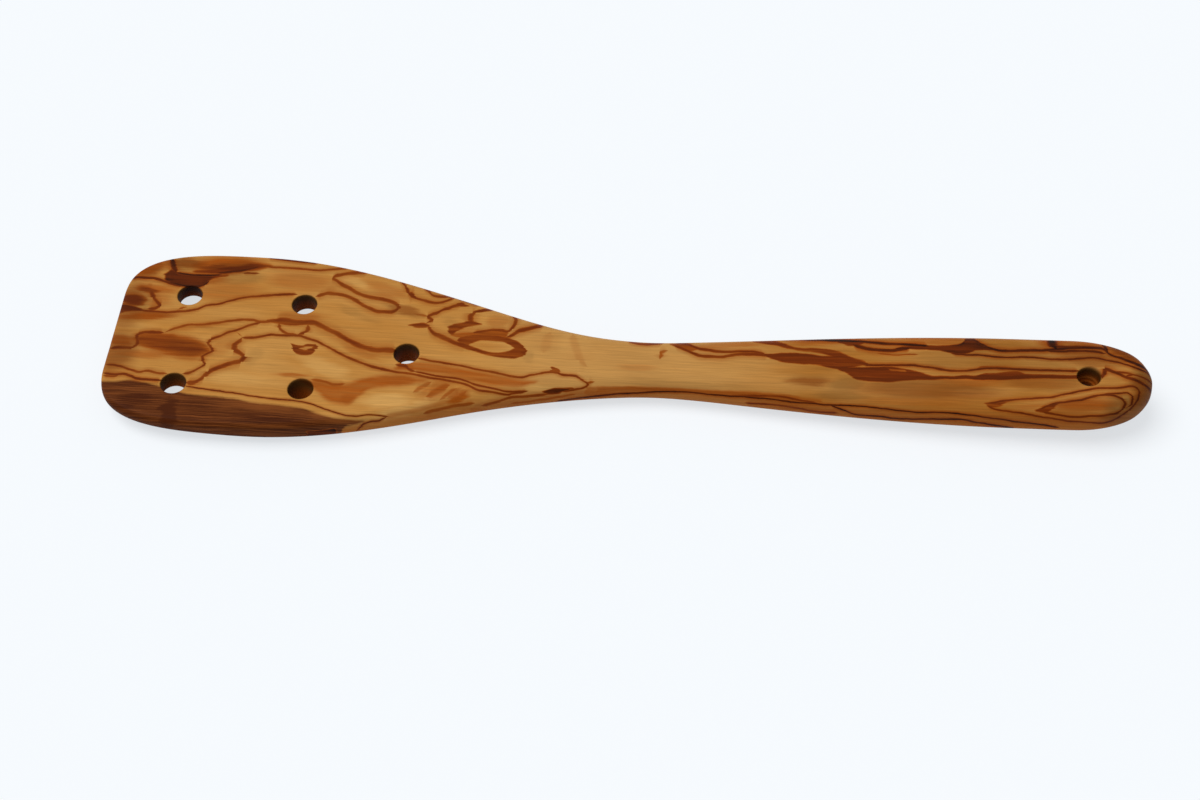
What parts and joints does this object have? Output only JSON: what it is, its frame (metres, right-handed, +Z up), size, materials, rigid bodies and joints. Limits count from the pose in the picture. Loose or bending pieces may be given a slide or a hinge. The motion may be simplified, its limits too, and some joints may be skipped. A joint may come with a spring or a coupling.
{
  "type": "perforated turner",
  "caption": "Flat wooden kitchen turner carved in one piece, with a wide drilled blade, a slim neck and a rounded handle with a hanging hole.",
  "frame": {"origin": "on the table under the middle of the turner's length and of the blade's width", "axes": "+X from the blade's front edge to the handle's end, +Y to the blade's left side, +Z up out of the upper face"},
  "size_m": [0.3, 0.065, 0.0161],
  "materials": {
    "olive_wood": "sanded smooth and oiled, satin"
  },
  "bodies": {
    "root": {"turner": "olive_wood"}
  },
  "joints": []
}
